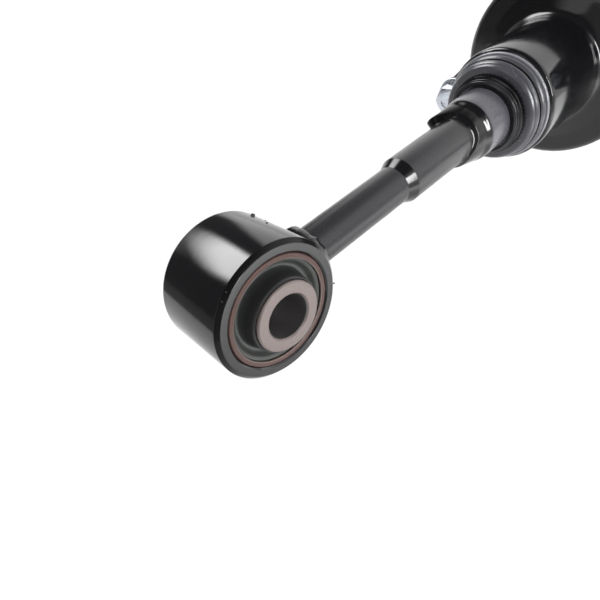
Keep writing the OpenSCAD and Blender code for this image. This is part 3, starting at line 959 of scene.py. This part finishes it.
def rear_stack():
    """Buffer, dished washer, spring washer, castle nut and split pin on the spigot."""
    buffer = lathe("rear_buffer_ring", rounded([
        (BUFFER_X, HUB_R + 0.1 * MM, 0.3 * MM), (BUFFER_X, 14.8 * MM, 1.2 * MM),
        (BUFFER_X + 1.6 * MM, 16 * MM, 0.8 * MM), (BUFFER_END, 15.6 * MM, 0.6 * MM),
        (BUFFER_END, HUB_R + 0.1 * MM, 0.3 * MM),
    ]), 0, RUBBER)
    finish_piece(buffer, "arm", "black_rubber", "rear_buffer")
    flat = REAR_X + 1.6 * MM
    thick = 2.4 * MM
    washer = lathe("rear_washer", rounded([
        (flat, SPIGOT_R + 0.1 * MM, 0.2 * MM), (flat, 16.6 * MM, 1.5 * MM),
        (REAR_X, 20.8 * MM, 0.5 * MM), (REAR_X + thick * 0.9, 20.95 * MM, 0.5 * MM),
        (REAR_END, 17.4 * MM, 1.5 * MM), (REAR_END, SPIGOT_R + 0.1 * MM, 0.2 * MM),
    ]), 0, ZINC)
    finish_piece(washer, "arm", "zinc_steel", "rear_limit_washer")
    spring_washer()
    castle_nut()
    split_pin()


def spring_washer():
    """A split washer whose two ends stand slightly apart."""
    bm = bmesh.new()
    gap = math.radians(9)
    steps, outer, inner = 120, 12.4 * MM, SPIGOT_R + 0.1 * MM
    rings = []
    for k in range(steps + 1):
        angle = gap / 2 + (2 * math.pi - gap) * k / steps
        lean = 0.25 * MM * (k / steps - 0.5)
        low, high = SPRING_X + 0.15 * MM + lean, SPRING_END - 0.15 * MM + lean
        section = rounded([
            (low, inner, 0.15 * MM), (low, outer, 0.3 * MM),
            (high, outer, 0.3 * MM), (high, inner, 0.15 * MM),
        ], steps=3)
        rings.append([place_on(0, a, r, angle) for a, r in section])
    loft(bm, rings, closed_ends=True)
    washer = link("split_spring_washer", bm, ZINC)
    finish_piece(washer, "arm", "zinc_steel", "spring_washer")


def hexagon(name, x0, x1, flats, material, turn=0.0, both=True):
    """A hexagon head or nut blank with the usual turned chamfer on its corners."""
    bm = bmesh.new()
    corner = flats / math.sqrt(3)
    rings = []
    for x in (x0, x1):
        rings.append([place_on(0, x, corner, math.pi / 3 * i + turn) for i in range(6)])
    loft(bm, rings, closed_ends=True)
    blank = link(name, bm, material, smooth_angle=20)
    face_r = flats / 2 * 0.97
    slope = math.tan(math.radians(30))
    rise = (corner - face_r) * slope
    over = corner * 1.1
    drop = (over - face_r) * slope
    hair = 0.02 * MM
    front = [(x0 + drop, over), (x0, face_r), (x0, hair)]
    if both:
        back = [(x1, hair), (x1, face_r), (x1 - drop, over)]
    else:
        back = [(x1 + rise, hair), (x1 + rise, over)]
    cone = lathe(name + "_cone", back + front, 0, material, segments=96)
    boolean(blank, cone, "INTERSECT")
    soften(blank, 0.18 * MM)
    return blank


def soften(piece, width, angle=35):
    """Rounds the piece's sharp edges slightly."""
    bevel = piece.modifiers.new("edge", "BEVEL")
    bevel.width = width
    bevel.segments = 2
    bevel.limit_method = "ANGLE"
    bevel.angle_limit = math.radians(angle)
    apply_modifiers(piece)
    piece.data.shade_smooth()
    piece.data.set_sharp_from_angle(angle=math.radians(40))


def castle_nut():
    """The castle nut: chamfered hexagon, turned crown with three slots, plain bore."""
    flats, castle = 24 * MM, 4.5 * MM
    slot_w = 4 * MM
    nut = hexagon("crown_nut", NUT_X, NUT_END - castle, flats, ZINC, turn=math.pi / 2)
    crown = lathe("crown", rounded([
        (NUT_END - castle - 1 * MM, 0.02 * MM, 0), (NUT_END - castle - 1 * MM, flats / 2 - 1 * MM, 0),
        (NUT_END, flats / 2 - 1 * MM, 0.7 * MM), (NUT_END, 0.02 * MM, 0),
    ]), 0, ZINC, segments=96)
    boolean(nut, crown, "UNION")
    bore_r, mouth_r = THREAD_R + 0.05 * MM, THREAD_R + 1.2 * MM
    bore = lathe("bore", bar_outline([
        (NUT_X - 1 * MM, 0), (NUT_X - 1 * MM, mouth_r), (NUT_X + 1 * MM, bore_r),
        (NUT_END - 1 * MM, bore_r), (NUT_END + 1 * MM, mouth_r), (NUT_END + 1 * MM, 0),
    ]), 0, ZINC, segments=96)
    boolean(nut, bore, "DIFFERENCE")
    for i in range(3):
        bm = bmesh.new()
        bmesh.ops.create_cube(bm, size=1)
        bmesh.ops.scale(bm, vec=(2 * castle, slot_w, 2 * flats), verts=bm.verts)
        bmesh.ops.translate(bm, vec=(NUT_END, 0, 0), verts=bm.verts)
        bmesh.ops.rotate(bm, cent=(0, 0, 0), matrix=Matrix.Rotation(math.pi / 3 * i, 3, "X"), verts=bm.verts)
        boolean(nut, link("slot_cutter", bm, ZINC), "DIFFERENCE")
    soften(nut, 0.15 * MM)
    finish_piece(nut, "arm", "zinc_steel", "castle_nut")


def split_pin():
    """The split pin: two half-round legs with an eye on top and one leg bent over."""
    low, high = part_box("split_pin")
    x, top = NUT_END - 2.25 * MM, high.z
    bm = bmesh.new()
    wire = 0.75 * MM
    for side in (-1, 1):
        eye = []
        for k in range(11):
            a = math.pi * k / 10
            out, rise = 0.75 * MM + 1.3 * MM * math.sin(a), 1.6 * MM * (1 - math.cos(a))
            eye.append(Vector((x + side * out, 0, top - 3.2 * MM + rise)))
        leg = [Vector((x + side * 0.75 * MM, 0, z * MM)) for z in (8, 4, 0, -4, -8, -11)]
        if side > 0:
            bend = [Vector((x + (0.75 + 1.4 * k) * MM, 0, -(12.2 + 0.45 * k) * MM)) for k in range(1, 5)]
        else:
            bend = [Vector((x - 0.75 * MM, 0, low.z + 1.2 * MM))]
        sweep(bm, eye[::-1] + leg + bend, wire)
    pin = link("cotter_pin", bm, ZINC, smooth_angle=60)
    finish_piece(pin, "arm", "zinc_steel", "split_pin")


def sweep(bm, path, radius, segments=14):
    """A round bar along a path in the XZ plane."""
    rings = []
    for i, point in enumerate(path):
        ahead = path[min(i + 1, len(path) - 1)] - path[max(i - 1, 0)]
        normal = ahead.normalized().cross(Vector((0, 1, 0)))
        ring = []
        for k in range(segments):
            angle = 2 * math.pi * k / segments
            sideways = Vector((0, radius * math.sin(angle), 0))
            ring.append(point + normal * (radius * math.cos(angle)) + sideways)
        rings.append(ring)
    loft(bm, rings, closed_ends=True)


# ---------------------------------------------------------------- bracket
def bracket():
    """The cast bracket: neck, flared base and two ears, blended like a casting, then machined."""
    body = lathe("bracket_casting", rounded([
        (NECK_X, 15 * MM, 0), (NECK_X, NECK_R - 0.9 * MM, 0.3 * MM), (NECK_X + 0.9 * MM, NECK_R, 0.5 * MM),
        (NECK_END + 1 * MM, NECK_R, 4 * MM), (BASE_X - 1.2 * MM, NECK_R + 9 * MM, 5 * MM),
        (BASE_X - 0.4 * MM, BASE_R - 1.4 * MM, 1.6 * MM), (BASE_X + 1.6 * MM, BASE_R + 0.9 * MM, 1.8 * MM),
        (FACE_X, BASE_R + 0.4 * MM, 0.6 * MM), (FACE_X, 15 * MM, 0),
    ], steps=8), 0, GLOSS, segments=160)
    for turn in (0, math.pi):
        boolean(body, ear(turn), "UNION")
    remesh = body.modifiers.new("cast", "REMESH")
    remesh.mode = "VOXEL"
    remesh.voxel_size = 0.7 * MM
    smooth = body.modifiers.new("blend", "SMOOTH")
    smooth.factor = 0.5
    smooth.iterations = 4
    apply_modifiers(body)
    for x0, x1, r in (
        (NECK_X - 5 * MM, FACE_X + 5 * MM, NECK_BORE_R),
        (BUSH_REAR + 2 * MM, FACE_X + 5 * MM, CUP_R),
        (FACE_X, FACE_X + 8 * MM, 80 * MM),
    ):
        cutter = lathe("cutter", bar_outline([(x0, 0), (x0, r), (x1, r), (x1, 0)]), 0, GLOSS, segments=160)
        boolean(body, cutter, "DIFFERENCE")
    for turn in (0, math.pi):
        y, z = ear_place(turn)
        for x0, x1, r in (
            (FACE_X - EAR_T - 5 * MM, FACE_X + 5 * MM, 7.62 * MM),
            (FACE_X - EAR_T - 9 * MM, FACE_X - EAR_T, EAR_R + 2.5 * MM),
        ):
            cutter = lathe("cutter", bar_outline([(x0, 0), (x0, r), (x1, r), (x1, 0)]), 0, GLOSS, segments=96)
            cutter.data.transform(Matrix.Translation((0, y, z)))
            boolean(body, cutter, "DIFFERENCE")
    body.data.shade_smooth()
    body.data.set_sharp_from_angle(angle=math.radians(35))
    finish_piece(body, "bracket", "black_paint", "bracket_neck", "bracket_base")


def ear_place(turn):
    angle = EAR_ANGLE + turn
    return BOLT_CIRCLE_R * math.cos(angle), BOLT_CIRCLE_R * math.sin(angle)


def ear(turn):
    """One ear: a round boss carried by a tapering web from the base."""
    bm = bmesh.new()
    rings = []
    front, back = FACE_X - EAR_T, FACE_X
    for x, grow in ((front, 0), (back, 0.6 * MM)):
        ring = []
        for k in range(25):
            angle = -math.pi / 2 + math.pi * k / 24
            boss_r = EAR_R + grow
            ring.append(Vector((x, BOLT_CIRCLE_R + boss_r * math.cos(angle), boss_r * math.sin(angle))))
        root, near, far = 17 * MM, BASE_R - 4 * MM, 20 * MM
        ring += [Vector((x, y, z)) for y, z in ((near, root), (far, root), (far, -root), (near, -root))]
        rings.append(ring)
    loft(bm, rings, closed_ends=True)
    bmesh.ops.rotate(bm, cent=(0, 0, 0), matrix=Matrix.Rotation(EAR_ANGLE + turn, 3, "X"), verts=bm.verts)
    return link("ear", bm, GLOSS)


def bolts():
    """Two hexagon flange bolts with true threads, their washers and the ear bushings."""
    head_front = BOLT_LOW
    washer_front = span("bolt_washers", 0)[0]
    bushing_front = span("ear_bushings", 0)[0]
    names = {"bolt": [], "washer": [], "bushing": []}
    for turn in (0, math.pi):
        y, z = ear_place(turn)
        shift = Matrix.Translation((0, y, z))
        head = hexagon("bolt_head", head_front, washer_front - 1.2 * MM, 14 * MM, ZINC, both=False)
        flange = lathe("bolt_flange", rounded([
            (washer_front - 2.3 * MM, 0.02 * MM, 0), (washer_front - 2.3 * MM, 7.4 * MM, 0.3 * MM),
            (washer_front - 0.9 * MM, 10.1 * MM, 0.4 * MM), (washer_front - 0.02 * MM, 10.4 * MM, 0.3 * MM),
            (washer_front - 0.02 * MM, 0.02 * MM, 0),
        ]), 0, ZINC, segments=96)
        dish = lathe("bolt_dish", rounded([
            (head_front - 1 * MM, 0.02 * MM, 0), (head_front - 1 * MM, 4.6 * MM, 0),
            (head_front + 0.7 * MM, 3.9 * MM, 0.4 * MM), (head_front + 0.7 * MM, 0.02 * MM, 0),
        ]), 0, ZINC, segments=96)
        boolean(head, dish, "DIFFERENCE")
        shank = tube("bolt_shank", washer_front - 1 * MM, FACE_X + 2 * MM, 4.98 * MM, 0.02 * MM, ZINC, 0)
        for part in (head, flange, shank):
            part.data.transform(shift)
        thread = threaded("bolt_thread", FACE_X + 1.5 * MM, BOLT_END, 5 * MM, 1.5 * MM, ZINC, at=(y, z))
        names["bolt"] += [head, flange, shank, thread]
        washer = tube("washer", washer_front, bushing_front - 0.02 * MM, 10.2 * MM, 5.3 * MM, RUST, 0.3 * MM)
        bushing = tube("bushing", bushing_front, FACE_X - 0.02 * MM, 7.58 * MM, 5.3 * MM, ZINC, 0.3 * MM)
        for kind, part in (("washer", washer), ("bushing", bushing)):
            part.data.transform(shift)
            names[kind].append(part)
    for kind, slot, node in (
        ("bolt", "zinc_steel", "bracket_bolts"),
        ("washer", "rust_steel", "bolt_washers"),
        ("bushing", "zinc_steel", "ear_bushings"),
    ):
        joined = join("flange_bolts" if kind == "bolt" else kind + "s", names[kind])
        finish_piece(joined, "bracket", slot, node)


def join(name, parts):
    """Joins separate solids into one object."""
    bm = bmesh.new()
    for part in parts:
        bm.from_mesh(part.data)
    material = parts[0].data.materials[0]
    for part in parts:
        bpy.data.objects.remove(part)
    return link(name, bm, material, smooth_angle=35)


# ---------------------------------------------------------------- build
bpy.context.scene.view_settings.view_transform = "Standard"
add_camera()
add_floor()
add_floor_pool("near_floor_pool", 0.16, -0.58, 0.42, 0.36, 15, 1.9)
add_floor_pool("side_floor_pool", 1.0, -0.62, 1.3, 0.8, -32, 5)
add_sky()
eye_housing()
eye_sleeve()
eye_rubber()
eye_core()
weld_bead()
paint_nibs()
rod()
seal_lip()
toothed_ring()
boot()
bush()
rear_stack()
bracket()
bolts()
